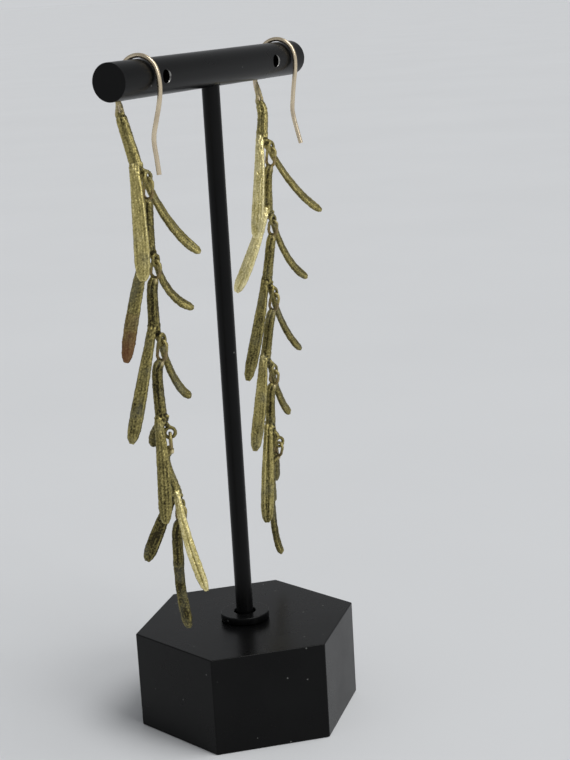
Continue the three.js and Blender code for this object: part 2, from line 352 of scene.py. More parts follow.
def evened(values: np.ndarray, edges: np.ndarray, times: int) -> np.ndarray:
    """Evens values out between neighbouring points.

    Args:
        values: A row for each point.
        edges: The two points of each edge.
        times: How often each point takes the mean of its neighbours.

    Returns:
        The evened rows.
    """
    one, other = edges.T
    count = np.bincount(edges.ravel(), minlength=len(values))[:, None]
    for _ in range(times):
        total = np.zeros_like(values)
        np.add.at(total, one, values[other])
        np.add.at(total, other, values[one])
        values = total / count
    return values


@dataclass(frozen=True)
class Grain:
    """The roughness of a cast surface (mm), and how its colour takes it up.

    Attributes:
        voxel: The finest detail of the fused skin.
        pit_level: The part of the noise that makes no pit.
        knot_reach: How far from a node its pits reach.
        evened: How often the surface is evened out to find its hollows.
        hollow_depth: Depth between the highest ridge and the deepest hollow that are told apart.
        rim_dark: How much darker a flat leaf is along its rims.
        rim_flat: How many times as wide as deep a limb is before its rims are dark.
        rim_from: The share of its half width where a rim begins.
        rim_over: The share of its half width over which it comes in.
    """

    voxel: float = 0.135
    lump_size: float = 1.1
    lump_height: float = 0.12
    grain_size: float = 0.3
    grain_height: float = 0.16
    pit_size: float = 0.55
    pit_depth: float = 0.3
    pit_level: float = 0.62
    knot_reach: float = 1.7
    evened: int = 6
    hollow_depth: float = 0.1
    rim_dark: float = 0.3
    rim_flat: float = 1.2
    rim_from: float = 0.72
    rim_over: float = 0.3


class Casting:
    """One cast link: collects its rods and lumps, fuses them and finishes its surface."""

    grain = Grain()

    def __init__(self, name: str) -> None:
        """Starts an empty casting.

        Args:
            name: The name of the finished piece.
        """
        self.name = name
        self.rods: list[Rod] = []
        self.lumps: list[Lump] = []
        self.stations: list[Station] = []
        self.rooms: list[Rod] = []
        self.knots: list[Vector] = []

    def mark(
        self, cross: Cross, reach: tuple[float, float, float], run: float, tone: ToneAndShading, share: float
    ) -> None:
        """Notes what the surface around a place belongs to.

        Args:
            cross: The place's section.
            reach: Half sizes across, out and along (mm).
            run: Distance of the place along its limb (mm).
            tone: The limb's colour, whose brightness holds painted light and shade.
            share: Share of the limb at the place, which says how far its rust has begun.
        """
        rust = tone.rust * max(0.0, (share - RUST_FROM) / RUST_OVER)
        self.stations.append(Station(cross, reach, run, (tone.bright, min(rust, 1.0), tone.pale)))

    def fuse(self) -> bpy.types.Object:
        """Fuses rods and lumps into one skin and roughens it.

        Returns:
            The skin, in millimetres in the earring's own axes.
        """
        skin = rods_to_mesh(self.name, self.rods, 2)
        parts = [skin]
        for lump in self.lumps:
            bpy.ops.object.select_all(action="DESELECT")
            bpy.ops.mesh.primitive_ico_sphere_add(
                subdivisions=3, radius=1, location=lump.centre, scale=lump.reach
            )
            parts.append(bpy.context.view_layer.objects.active)
        for part in parts:
            part.select_set(True)
        bpy.context.view_layer.objects.active = skin
        bpy.ops.object.join()
        apply_modifier(skin, "REMESH", mode="VOXEL", voxel_size=self.grain.voxel)
        apply_modifier(skin, "SMOOTH", factor=0.5, iterations=2)
        self.clear_rooms(skin)
        self.roughen(skin)
        return skin

    def clear_rooms(self, skin: bpy.types.Object) -> None:
        """Cuts free room round the ring that hangs in this link's eye."""
        for room in self.rooms:
            cutter = rods_to_mesh("room", [room], 3)
            apply_modifier(
                skin, "BOOLEAN", operation="DIFFERENCE", object=cutter, solver="MANIFOLD"
            )
            bpy.data.objects.remove(cutter)

    def roughen(self, skin: bpy.types.Object) -> None:
        """Gives the skin the lumps, grain and pits of a casting."""
        grain = self.grain
        points = read_rows(skin.data, "co")
        knotty = skin.vertex_groups.new(name="knotty")
        if self.knots:
            knots = np.array([tuple(k) for k in self.knots], float)
            away = np.linalg.norm(points[:, None] - knots[None], axis=2).min(axis=1)
            weights = np.exp(-((away / grain.knot_reach) ** 2))
            for index in np.flatnonzero(weights > 0.02):
                knotty.add([int(index)], float(weights[index]), "REPLACE")
        for size, depth, height, middle, group in (
            (grain.lump_size, 1, grain.lump_height, 0.5, ""),
            (grain.grain_size, 2, grain.grain_height, 0.5, ""),
            (grain.pit_size, 0, grain.pit_depth, grain.pit_level, "knotty"),
        ):
            texture = bpy.data.textures.new(f"{self.name}_{size}", "CLOUDS")
            texture.noise_scale = size
            texture.noise_depth = depth
            apply_modifier(
                skin, "DISPLACE", texture=texture, texture_coords="LOCAL", strength=height,
                mid_level=middle, vertex_group=group,
            )
        skin.vertex_groups.clear()

    def colour(self, skin: bpy.types.Object) -> None:
        """Writes what the materials read: the lie of the grain, the tones with their painted light
        and shade, and the hollows.

        Args:
            skin: The fused skin, still in millimetres.
        """
        mesh, grain = skin.data, self.grain
        points = read_rows(mesh, "co")
        best = np.full(len(points), np.inf)
        lie = np.zeros_like(points)
        tone = np.zeros_like(points)
        rim = np.zeros(len(points))
        for station in self.stations:
            cross = station.cross
            axes = np.array([cross.wide, cross.out, cross.along], float)
            local = (points - np.array(cross.centre)) @ axes.T
            far = np.linalg.norm(local / np.array(station.reach), axis=1)
            near = far < best
            best[near] = far[near]
            lie[near] = local[near] + np.array((0, 0, station.run))
            tone[near] = station.tone
            wide, deep, _ = station.reach
            flat = min(max(wide / deep - grain.rim_flat, 0), 1)
            out = (np.abs(local[near, 0]) / wide - grain.rim_from) / grain.rim_over
            rim[near] = flat * np.clip(out, 0, 1)
        tone[:, 0] -= grain.rim_dark * rim
        edges = np.empty(len(mesh.edges) * 2, int)
        mesh.edges.foreach_get("vertices", edges)
        edges = edges.reshape(-1, 2)
        sunk = evened(points, edges, grain.evened) - points
        hollow = (sunk * read_rows(mesh, "normal")).sum(axis=1) / grain.hollow_depth
        for name, kind, values in (
            ("lie", "FLOAT_VECTOR", lie),
            ("tone", "FLOAT_VECTOR", evened(tone, edges, grain.evened)),
            ("hollow", "FLOAT", np.clip(0.5 + hollow, 0, 1)),
        ):
            layer = mesh.attributes.new(name, kind, "POINT")
            field_name = "value" if kind == "FLOAT" else "vector"
            layer.data.foreach_set(field_name, values.astype(np.float32).ravel())

    def finish(self, place: Matrix, material: bpy.types.Material) -> bpy.types.Object:
        """Fuses the casting, colours it and puts it in the frame.

        Args:
            place: The earring's place in the frame, from millimetres to metres.
            material: Its finish.

        Returns:
            The finished piece.
        """
        skin = self.fuse()
        self.colour(skin)
        skin.data.transform(place)
        dress(skin, material)
        bpy.ops.object.shade_smooth()
        return skin


# ---------------------------------------------------------------------------------------------
# Earrings
# ---------------------------------------------------------------------------------------------


@dataclass(frozen=True)
class Bend:
    """A knot of an ear wire, across the bar and above its axis (mm)."""

    y: float
    z: float


@dataclass
class Earring:
    """An earring: its ear wire and its chain of cast twigs.

    Attributes:
        name: Prefix of its pieces.
        along_bar: Where it hangs along the bar (mm).
        wire: The ear wire's knots, from the top twig over the bar to the free tip.
        twigs: The links, from the top.
        bar_height: Height of the bar's axis (mm).
        turn: Degrees that its leafy face is turned from the bar.
        swing_stops: Degrees of the drop's swing at which its ring is given free room.
        stem_radii: A stem's radii at its top, middle and bottom; top_stem_radii are the first's.
        end_radius: The bottom of the last stem.
        node_reach: Half sizes of a node, as bud_reach and bead_reach are of buds and solder.
        bud_turn: Degrees between one bud of a node and the next, about its stem.
        neck_radii: The neck between a node and its eye.
        leaf_base_radii: The base that joins a leaf to its node.
        prong_radii: A prong, from its foot in the stem to its tip on the ear wire.
        rib_places: The sides of a stem's four ribs, across and out.
        rib_offset: How far off its line they lie, as shares of its radius.
        rib_share: Their size, as a share of its radius.
        stem_twist: Degrees that they turn from its top to its bottom.
        wire_steps: Lengths that the ear wire is drawn in.
        stem_steps: Lengths that a stem is drawn in.
    """

    name: str
    along_bar: float
    wire: tuple[Bend, ...]
    twigs: tuple[Twig, ...]
    bar_height: float = 132.5
    turn: float = -62.0
    wire_radius: float = 0.45
    eye_radius: float = 1.0
    eye_wire: float = 0.36
    eye_depth: float = -0.3
    ring_half_width: float = 0.95
    ring_wire: float = 0.34
    ring_gap: float = 0.14
    swing_stops: tuple[float, ...] = (0, 50, 55, 60)
    leaf_thickness: float = 1.1
    stem_radii: tuple[float, float, float] = (0.68, 1.0, 1.1)
    top_stem_radii: tuple[float, float, float] = (0.72, 1.08, 1.2)
    end_radius: float = 1.05
    node_reach: tuple[float, float, float] = (1.15, 1.05, 1.4)
    bud_reach: tuple[float, float, float] = (0.36, 0.34, 0.42)
    bead_reach: tuple[float, float, float] = (0.5, 0.42, 0.5)
    bud_turn: float = 137.5
    neck_radii: tuple[float, float, float] = (0.55, 0.5, 0.42)
    leaf_base_radii: tuple[float, float, float] = (0.8, 0.74, 0.6)
    prong_radii: tuple[float, ...] = (0.2, 0.32, 0.42, 0.44, 0.42, 0.4, 0.36, 0.32, 0.28)
    shoulder_drop: float = 1.6
    rib_places: tuple[tuple[int, int], ...] = ((-1, 1), (1, 1), (-1, -1), (1, -1))
    rib_offset: tuple[float, float] = (0.35, 0.3)
    rib_share: float = 0.66
    stem_twist: float = 12
    wire_steps: int = 170
    stem_steps: int = 12
    made: list[bpy.types.Object] = field(default_factory=list)

    def place(self) -> Matrix:
        """From the earring's own millimetres to the frame's metres."""
        return (
            Matrix.Scale(MM, 4)
            @ Matrix.Translation((self.along_bar, 0, self.bar_height))
            @ Matrix.Rotation(math.radians(self.turn), 4, "Z")
        )

    def wire_line(self) -> Line:
        """The ear wire's line, in the frame's axes but in millimetres."""
        return smooth_line(
            [Vector((self.along_bar, bend.y, self.bar_height + bend.z)) for bend in self.wire]
        )

    def build(self, bronze: bpy.types.Material, wire_gold: bpy.types.Material) -> None:
        """Builds the ear wire and all links, and has them ride on their bodies.

        Args:
            bronze: Finish of the castings.
            wire_gold: Finish of the ear wire.
        """
        self.build_wire(wire_gold)
        for index, twig in enumerate(self.twigs):
            node = f"{self.name}_link_{index + 1}"
            link = self.cast_link(index, twig).finish(self.place(), bronze)
            body = "stand" if index == 0 else f"{self.name}_drop"
            self.hand_over(link, body, node)

    def hand_over(self, piece: bpy.types.Object, body: str, node: str) -> None:
        """Puts a finished piece on its body in place of its solid.

        Args:
            piece: The piece.
            body: The body that it rides on.
            node: The solid that it stands for.
        """
        piece.name = f"{node}_look"
        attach(piece, body)
        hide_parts(node)
        self.made.append(piece)
        log.info("%s: %d faces", piece.name, len(piece.data.polygons))

    def build_wire(self, finish: bpy.types.Material) -> None:
        """Bends the ear wire and cuts its tip square."""
        line = self.wire_line()
        points = tuple(line(step / self.wire_steps) for step in range(self.wire_steps + 1))
        radii = tuple(self.wire_radius for _ in points)
        wire = rods_to_mesh(f"{self.name}_wire", [Rod(points, radii)], 5)
        apply_modifier(
            wire, "BEVEL", width=0.06, segments=2, limit_method="ANGLE", angle_limit=1.0
        )
        wire.data.transform(Matrix.Scale(MM, 4))
        dress(wire, finish)
        bpy.ops.object.shade_smooth_by_angle(angle=math.radians(40))
        self.hand_over(wire, "stand", f"{self.name}_ear_hook")

    # ---- one link ----

    def cast_link(self, index: int, twig: Twig) -> Casting:
        """Lays out one link.

        Args:
            index: Its place in the chain, from 0.
            twig: Its row.

        Returns:
            The casting, ready to be fused.
        """
        casting = Casting(f"{self.name}_link_{index + 1}")
        node = Vector((twig.node, 0, twig.above - twig.drop))
        if index == 0:
            self.add_top_stem(casting, twig, node)
        else:
            self.add_hung_stem(casting, self.twigs[index - 1], twig, node)
        if index < len(self.twigs) - 1:
            self.add_eye(casting, twig, node)
            self.add_knot(casting, twig, node)
            for stop in self.swing_stops if index == 0 else (0,):
                casting.rooms.append(self.ring_room(twig, self.twigs[index + 1], stop))
        for leaf in twig.leaves:
            self.add_leaf(casting, leaf, node)
        return casting

    def hanging_point(self, twig: Twig) -> Vector:
        """The lowest wire of a twig's eye, which the next ring hangs on."""
        return Vector((twig.eye, self.eye_depth, -twig.drop - self.eye_radius))

    def swung(self, above: Twig, twig: Twig, further: float = 0) -> Matrix:
        """Moves what hangs straight down from an eye to where its swing takes it."""
        turn = math.radians(above.eye_turn)
        pivot = Matrix.Translation(self.hanging_point(above))
        axis = Vector((math.cos(turn), math.sin(turn), 0))
        swing = Matrix.Rotation(math.radians(twig.swing + further), 4, axis)
        return pivot @ swing @ pivot.inverted()

    def ring_top(self, above: Twig) -> Vector:
        """The middle of a ring's top wire, which rides just over the wire of the eye."""
        return self.hanging_point(above) + UP * (self.eye_wire + self.ring_wire + self.ring_gap)

    @staticmethod
    def loop(radius: float, wire: float, height: float, turn: float, top: Vector) -> Rod:
        """A ring or eye standing on edge, drawn out to a height between its wire centres.

        Args:
            radius: Half its width between wire centres.
            wire: The wire's radius.
            height: Its height between wire centres.
            turn: Degrees of its plane about the upright.
            top: The middle of its top wire.

        Returns:
            The closed rod.
        """
        sideways = Vector((math.cos(math.radians(turn)), math.sin(math.radians(turn)), 0))
        centre, stretch = top - UP * height / 2, height / 2 - radius
        points = []
        for step in range(36):
            angle = math.radians(step * 10 + 5)
            lift = math.copysign(stretch, math.sin(angle))
            points.append(
                centre + sideways * radius * math.cos(angle)
                + UP * (radius * math.sin(angle) + lift)
            )
        return Rod(tuple(points), tuple(wire for _ in points), closed=True)

    def ring_room(self, above: Twig, twig: Twig, further: float) -> Rod:
        """Free room round the ring that hangs in an eye.

        Args:
            above: The twig with the eye.
            twig: The twig with the ring.
            further: Degrees the ring swings beyond its rest.

        Returns:
            The room, a closed rod thicker than the ring.
        """
        top = self.ring_top(above) + UP * self.ring_gap
        wire = self.ring_wire + self.ring_gap
        room = self.loop(
            self.ring_half_width, wire, twig.ring + self.ring_gap, above.eye_turn - 90, top
        )
        swing = self.swung(above, twig, further)
        return Rod(tuple(swing @ p for p in room.points), room.radii, closed=True)

    def add_loop(self, casting: Casting, loop: Rod, tone: ToneAndShading) -> None:
        """Adds a ring or eye to a casting, with its grain running round it."""
        casting.rods.append(loop)
        run = 0.0
        for before, point in zip(loop.points, loop.points[1:] + loop.points[:1]):
            along = (point - before).normalized()
            wide = along.cross(Vector((0.3, 0.5, 0.81))).normalized()
            cross = Cross(before, along, wide, along.cross(wide))
            low = loop.points[9].z - before.z > 1.2
            casting.mark(cross, (loop.radii[0],) * 3, run, tone, 0.9 if low else 0)
            run += (point - before).length

    def add_eye(self, casting: Casting, twig: Twig, node: Vector) -> None:
        """Adds the eye under a node and the short neck that joins it."""
        across = self.eye_radius * 2
        top = self.hanging_point(twig) + UP * across
        eye = self.loop(self.eye_radius, self.eye_wire, across, twig.eye_turn, top)
        self.add_loop(casting, eye, ToneAndShading(bright=twig.tone.bright * 0.7))
        casting.rods.append(Rod((node, (node + top) / 2, top), self.neck_radii))

    def add_knot(self, casting: Casting, twig: Twig, node: Vector) -> None:
        """Adds a node: a lump with leaf bases and small buds on it."""
        casting.lumps.append(Lump(node, self.node_reach))
        casting.knots.append(node)
        wide, deep, tall = self.node_reach
        for step in range(5):
            angle = math.radians(step * self.bud_turn + twig.drop * 31)
            height = tall * (0.9 - step * 0.42)
            girth = math.sqrt(max(0.1, 1 - (height / tall) ** 2))
            bud = node + Vector(
                (wide * girth * math.cos(angle), deep * girth * math.sin(angle), height)
            )
            casting.lumps.append(Lump(bud, self.bud_reach))
        casting.mark(Cross.level(node), self.node_reach, 0, twig.tone, 0)

    def add_stem(
        self, casting: Casting, line: Line, radii: tuple[float, float, float], tone: ToneAndShading
    ) -> None:
        """Adds a stem as a bundle of four ribs with grooves between them.

        Args:
            casting: The link.
            line: The stem's centre-line.
            radii: Its radius at the top, middle and bottom.
            tone: Its colour, whose brightness holds painted light and shade.
        """
        top, middle, bottom = radii
        rows = []
        run = 0.0
        for step in range(self.stem_steps + 1):
            t = step / self.stem_steps
            radius = float(np.interp(t, (0, 0.3, 0.7, 1), (top, middle, middle, bottom)))
            cross = Cross.of(line, t, self.stem_twist * t)
            rows.append((cross, radius))
            if step:
                run += (cross.centre - rows[-2][0].centre).length
            casting.mark(cross, (radius, radius, run / (step + 1) + 0.4), run, tone, t)
        sideways, outwards = self.rib_offset
        for across, out in self.rib_places:
            points = tuple(
                cross.centre
                + (cross.wide * across * sideways + cross.out * out * outwards) * radius
                for cross, radius in rows
            )
            radii = tuple(radius * self.rib_share for _, radius in rows)
            casting.rods.append(Rod(points, radii))

    def add_hung_stem(self, casting: Casting, above: Twig, twig: Twig, node: Vector) -> None:
        """Adds a stem with the soldered ring that it hangs by."""
        swing = self.swung(above, twig)
        top = self.ring_top(above)
        ring = self.loop(
            self.ring_half_width, self.ring_wire, twig.ring, above.eye_turn - 90, top
        )
        ring = Rod(tuple(swing @ p for p in ring.points), ring.radii, closed=True)
        tone = ToneAndShading(bright=0.15 + twig.tone.bright * 0.7, rust=0.5, pale=0.08)
        self.add_loop(casting, ring, tone)
        foot = swing @ (top - UP * twig.ring)
        shoulder = Vector((twig.shoulder, 0, foot.z - self.shoulder_drop))
        end = self.stem_radii[2] if twig.above > 0 else self.end_radius
        line = smooth_line([foot, shoulder, node])
        self.add_stem(casting, line, (*self.stem_radii[:2], end), twig.tone)
        bead = foot + Vector((0.05, -0.35, -0.55))
        casting.lumps.append(Lump(bead, self.bead_reach))
        casting.mark(Cross.level(bead), self.bead_reach, 0, ToneAndShading(bright=0.9, pale=0.6), 0)

    def add_top_stem(self, casting: Casting, twig: Twig, node: Vector) -> None:
        """Adds the first stem, which is soldered round the ear wire's end."""
        inward = self.place().inverted()
        line = self.wire_line()
        end = inward @ (line(0) * MM)
        out = (inward.to_3x3() @ heading(line, 0)).normalized()
        rim, bend = end + out * 1.0, end - out * 1.3
        stem = smooth_line([rim, bend, node])
        self.add_stem(casting, stem, self.top_stem_radii, twig.tone)
        self.add_prongs(casting, rim, inward, twig)
        casting.knots.append(end - out * 0.6)

    def add_prongs(self, casting: Casting, rim: Vector, inward: Matrix, twig: Twig) -> None:
        """Adds the two prongs that close round the ear wire above its stem, with their solder.

        Args:
            casting: The link.
            rim: The middle of the stem's top.
            inward: From the frame to the earring.
            twig: The link's row.
        """
        line = self.wire_line()
        top = inward @ (line(0.14) * MM)
        tone = ToneAndShading(twig.tone.bright, pale=0.5)
        for across in (-1, 1):
            side = Vector((0.5 * across, -0.15, 0))
            foot, waist = rim - UP * 1.8, rim - UP * 0.3 + side
            path = smooth_line([foot, waist, rim + UP * 0.8 + side * 0.8, top])
            steps = len(self.prong_radii) - 1
            crosses = [Cross.of(path, step / steps, 0) for step in range(steps + 1)]
            casting.rods.append(Rod(tuple(c.centre for c in crosses), self.prong_radii))
            for step, cross in enumerate(crosses):
                casting.mark(cross, (0.4, 0.4, 0.4), step * 0.4, tone, 0)
        bead = top + Vector((-0.35, -0.1, -0.15))
        casting.lumps.append(Lump(bead, (0.36, 0.36, 0.42)))
        casting.mark(Cross.level(bead), (0.4, 0.4, 0.45), 0, ToneAndShading(bright=1.0, pale=0.9), 0)

    def add_leaf(self, casting: Casting, leaf: Leaf, node: Vector) -> None:
        """Adds a leaf as a blade of rods, and the base that joins it to the node."""
        root = node + Vector(leaf.side.value)
        across, away, below = leaf.tip
        line = bowed_line(root, Vector((across, away, -below)), Vector(leaf.bow))
        widths = np.interp(LEAF_SECTIONS, LEAF_ALONG, LEAF_WIDE)
        if leaf.side is Side.END:
            first = slice(END_LEAF_SECTIONS)
            widths[first] = np.maximum(widths[first], END_LEAF_WIDE)
        depths = np.interp(LEAF_SECTIONS, LEAF_ALONG, LEAF_THICK)
        crosses = [Cross.of(line, t, leaf.roll) for t in LEAF_SECTIONS]
        girths = [self.leaf_thickness / 2 * float(share) for share in depths]
        start = crosses[0]
        for back, girth, width in LEAF_ROOTS:
            centre = start.centre.lerp(node, back / 2.6) - start.along * back
            crosses.insert(0, Cross(centre, start.along, start.wide, start.out))
            girths.insert(0, girth)
            widths = np.insert(widths, 0, width)
        run = 0.0
        for step, cross in enumerate(crosses):
            gap = (cross.centre - crosses[step - 1].centre).length if step else 0
            run += gap
            half = leaf.width / 2 * float(widths[step])
            share = LEAF_SECTIONS[max(step - len(LEAF_ROOTS), 0)]
            casting.mark(cross, (half, girths[step], max(gap, 0.6)), run, leaf.tone, share)
        for rib in leaf.face.value:
            points, radii = [], []
            for cross, girth, share in zip(crosses, girths, widths):
                spread = max(leaf.width / 2 * float(share) - girth, 0.0)
                lift = rib.out * girth / (self.leaf_thickness / 2)
                points.append(cross.centre + cross.wide * spread * rib.across + cross.out * lift)
                radii.append(girth * rib.size)
            casting.rods.append(Rod(tuple(points), tuple(radii)))
        base = line(0.1)
        casting.rods.append(Rod((node, (node + base) / 2, base), self.leaf_base_radii))


# ---------------------------------------------------------------------------------------------
# Stand
# ---------------------------------------------------------------------------------------------


@dataclass
class Stand:
    """The black T-bar stand, turned and milled from stock (mm).

    Attributes:
        across_flats: The hexagonal base's size.
        base_turn: Degrees of one of its corners from +X.
        edge: The small chamfer on milled edges.
        bar_middle: Where the bar's middle lies along it.
        hole_rim: Radius of a cross hole's chamfer.
        hole_out: How far the cross holes are from the post.
        mouth_spare: How far a chamfer's cone goes past its rim, and past the hole inside it.
        mouth_depth: The cone's depth.
        gap: The clearance of the post and the collar.
    """

    across_flats: float = 40.0
    base_height: float = 20.0
    base_turn: float = 12.2
    edge: float = 0.25
    collar_radius: float = 5.0
    collar_height: float = 1.5
    collar_hole: float = 2.25
    post_radius: float = 1.75
    post_seat: float = 12.0
    bar_radius: float = 3.5
    bar_length: float = 68.3
    bar_middle: float = -0.8
    bar_height: float = 132.5
    hole_radius: float = 1.25
    hole_rim: float = 1.5
    hole_out: float = 21.0
    mouth_spare: tuple[float, float] = (0.33, 0.2)
    mouth_depth: float = 1.0
    gap: float = 0.2
    made: list[bpy.types.Object] = field(default_factory=list)

    def build(self, coat: bpy.types.Material, mouth_highlight: bpy.types.Material) -> None:
        """Builds the four pieces of the stand.

        Args:
            coat: The satin black coat.
            mouth_highlight: The painted highlight on the chamfers at the mouths of the bar's holes.
        """
        for maker, node in (
            (self.mill_base, "stand_base"),
            (self.turn_collar, "stand_collar"),
            (self.cut_post, "stand_post"),
            (self.turn_bar, "stand_bar"),
        ):
            piece = maker()
            piece.name = f"{node}_look"
            dress(piece, coat)
            if node == "stand_bar":
                self.paint_mouth_highlights(piece, mouth_highlight)
            bpy.ops.object.shade_smooth_by_angle(angle=math.radians(28))
            apply_modifier(piece, "WEIGHTED_NORMAL", keep_sharp=True, weight=80)
            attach(piece, "stand")
            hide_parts(node)
            self.made.append(piece)
            log.info("%s: %d faces", piece.name, len(piece.data.polygons))

    @staticmethod
    def rod(
        radius: float, length: float, middle: tuple[float, float, float], sides: int,
        turn: tuple[float, float, float] = (0, 0, 0),
    ) -> bpy.types.Object:
        """Adds a round or many-sided bar at its size and place, given in millimetres.

        Args:
            radius: To its corners.
            length: Of the bar.
            middle: Its place.
            sides: How many sides it has.
            turn: Degrees about each axis.

        Returns:
            The bar, with its place in its mesh.
        """
        bpy.ops.object.select_all(action="DESELECT")
        bpy.ops.mesh.primitive_cylinder_add(
            vertices=sides, radius=radius * MM, depth=length * MM,
            location=[x * MM for x in middle], rotation=[math.radians(x) for x in turn],
        )
        piece = bpy.context.view_layer.objects.active
        bpy.ops.object.transform_apply(location=True, rotation=True, scale=True)
        return piece

    def cut(self, piece: bpy.types.Object, tool: bpy.types.Object) -> None:
        """Cuts a tool's shape out of a piece and puts the tool away."""
        apply_modifier(piece, "BOOLEAN", operation="DIFFERENCE", object=tool, solver="EXACT")
        bpy.data.objects.remove(tool)

    def ease(self, piece: bpy.types.Object, width: float, angle: float = 35) -> None:
        """Rounds the edges that are sharper than an angle."""
        apply_modifier(
            piece, "BEVEL", width=width * MM, segments=3, limit_method="ANGLE",
            angle_limit=math.radians(angle), harden_normals=False,
        )

    def mill_base(self) -> bpy.types.Object:
        """The hexagonal block with the seat for the post."""
        corner = self.across_flats / 2 / math.cos(math.pi / 6)
        base = self.rod(
            corner, self.base_height, (0, 0, self.base_height / 2), 6, (0, 0, self.base_turn - 30)
        )
        depth = self.post_seat + 1
        seat = (0, 0, self.base_height + 1 - depth / 2)
        self.cut(base, self.rod(self.post_radius + self.gap, depth, seat, 48))
        self.ease(base, self.edge)
        return base

    def turn_collar(self) -> bpy.types.Object:
        """The thin collar round the post's foot."""
        middle = (0, 0, self.base_height + self.gap + self.collar_height / 2)
        collar = self.rod(self.collar_radius, self.collar_height, middle, 96)
        self.cut(collar, self.rod(self.collar_hole, self.collar_height * 3, middle, 64))
        self.ease(collar, 0.18)
        return collar

    def cut_post(self) -> bpy.types.Object:
        """The slim round post."""
        foot = self.base_height - self.post_seat + self.gap
        head = self.bar_height - self.bar_radius / 2
        post = self.rod(self.post_radius, head - foot, (0, 0, (head + foot) / 2), 64)
        self.ease(post, 0.2)
        return post

    def turn_bar(self) -> bpy.types.Object:
        """The bar, with its cross holes and the socket for the post."""
        middle = (self.bar_middle, 0, self.bar_height)
        bar = self.rod(self.bar_radius, self.bar_length, middle, 128, (0, 90, 0))
        self.ease(bar, 0.22, 60)
        head = self.bar_height - self.bar_radius / 2 + self.gap
        socket = (0, 0, head - self.bar_radius)
        self.cut(bar, self.rod(self.post_radius + self.gap, self.bar_radius * 2, socket, 48))
        for side in (-1, 1):
            at = (side * self.hole_out, 0, self.bar_height)
            self.cut(bar, self.rod(self.hole_radius, self.bar_radius * 3, at, 48, (90, 0, 0)))
            for face in (-1, 1):
                mouth = (at[0], face * self.bar_radius, at[2])
                self.cut(bar, self.mouth_cutter(mouth, face))
        return bar

    def paint_mouth_highlights(self, bar: bpy.types.Object, mouth_highlight: bpy.types.Material) -> None:
        """Paints a highlight on the chamfers at the mouths of the cross holes, as half metallic
        light grey.
        """
        bar.data.materials.append(mouth_highlight)
        for face in bar.data.polygons:
            x, y, z = face.center / MM
            away = Vector((x - math.copysign(self.hole_out, x), 0, z - self.bar_height))
            tilt = abs(face.normal.y)
            inside = away.length < self.hole_rim + 0.25 and abs(y) > self.bar_radius * 0.7
            if inside and 0.25 < tilt < 0.92 and face.normal.dot(away) < -0.3:
                face.material_index = 1

    def mouth_cutter(self, at: tuple[float, float, float], face: int) -> bpy.types.Object:
        """A cone that chamfers the mouth of a cross hole.

        Args:
            at: The cone's middle (mm).
            face: Which side of the bar it opens to.

        Returns:
            The cutter.
        """
        past_rim, past_hole = self.mouth_spare
        bpy.ops.object.select_all(action="DESELECT")
        bpy.ops.mesh.primitive_cone_add(
            vertices=48, radius1=(self.hole_rim + past_rim) * MM,
            radius2=(self.hole_radius - past_hole) * MM, depth=self.mouth_depth * MM,
            location=[x * MM for x in at], rotation=(math.radians(90 * face), 0, 0),
        )
        cutter = bpy.context.view_layer.objects.active
        bpy.ops.object.transform_apply(location=True, rotation=True, scale=True)
        return cutter


# ---------------------------------------------------------------------------------------------
# Finishes
# ---------------------------------------------------------------------------------------------

Socket = bpy.types.NodeSocket
Colour = tuple[float, float, float]


class NodeSheet:
    """A node tree being drawn: adds nodes and joins them."""

    def __init__(self, tree: bpy.types.NodeTree) -> None:
        """Takes the tree to draw in."""
        self.tree = tree

    def node(self, kind: str, **settings: object) -> bpy.types.Node:
        """Adds a node of a kind, with its settings."""
        made = self.tree.nodes.new(kind)
        for name, value in settings.items():
            setattr(made, name, value)
        return made

    def feed(self, socket: Socket, value: object) -> None:
        """Joins a socket to another, or sets its value."""
        if isinstance(value, bpy.types.NodeSocket):
            self.tree.links.new(value, socket)
        else:
            socket.default_value = value

    def math(self, operation: str, a: object, b: object) -> Socket:
        """A sum of two values."""
        made = self.node("ShaderNodeMath", operation=operation)
        self.feed(made.inputs[0], a)
        self.feed(made.inputs[1], b)
        return made.outputs[0]

    def mix(self, share: object, a: object, b: object) -> Socket:
        """A blend of two colours."""
        made = self.node("ShaderNodeMix", data_type="RGBA")
        self.feed(made.inputs["Factor"], share)
        for socket, value in ((made.inputs[6], a), (made.inputs[7], b)):
            self.feed(socket, (*value, 1) if isinstance(value, tuple) else value)
        return made.outputs[2]

    def spread(self, value: Socket, low: float, high: float, a: float = 0, b: float = 1) -> Socket:
        """A value spread from one range to another and held inside it."""
        made = self.node("ShaderNodeMapRange")
        self.feed(made.inputs["Value"], value)
        for name, number in (
            ("From Min", low), ("From Max", high), ("To Min", a), ("To Max", b),
        ):
            made.inputs[name].default_value = number
        return made.outputs["Result"]

    def noise(self, where: Socket, scale: float, detail: float, rough: float = 0.5) -> Socket:
        """Cloudy noise at a scale."""
        made = self.node("ShaderNodeTexNoise")
        self.feed(made.inputs["Vector"], where)
        made.inputs["Scale"].default_value = scale
        made.inputs["Detail"].default_value = detail
        made.inputs["Roughness"].default_value = rough
        return made.outputs["Fac"]

    def bump(self, height: Socket, strength: float, distance: float) -> Socket:
        """A normal that a height bends."""
        made = self.node("ShaderNodeBump")
        self.feed(made.inputs["Height"], height)
        made.inputs["Strength"].default_value = strength
        made.inputs["Distance"].default_value = distance
        return made.outputs["Normal"]


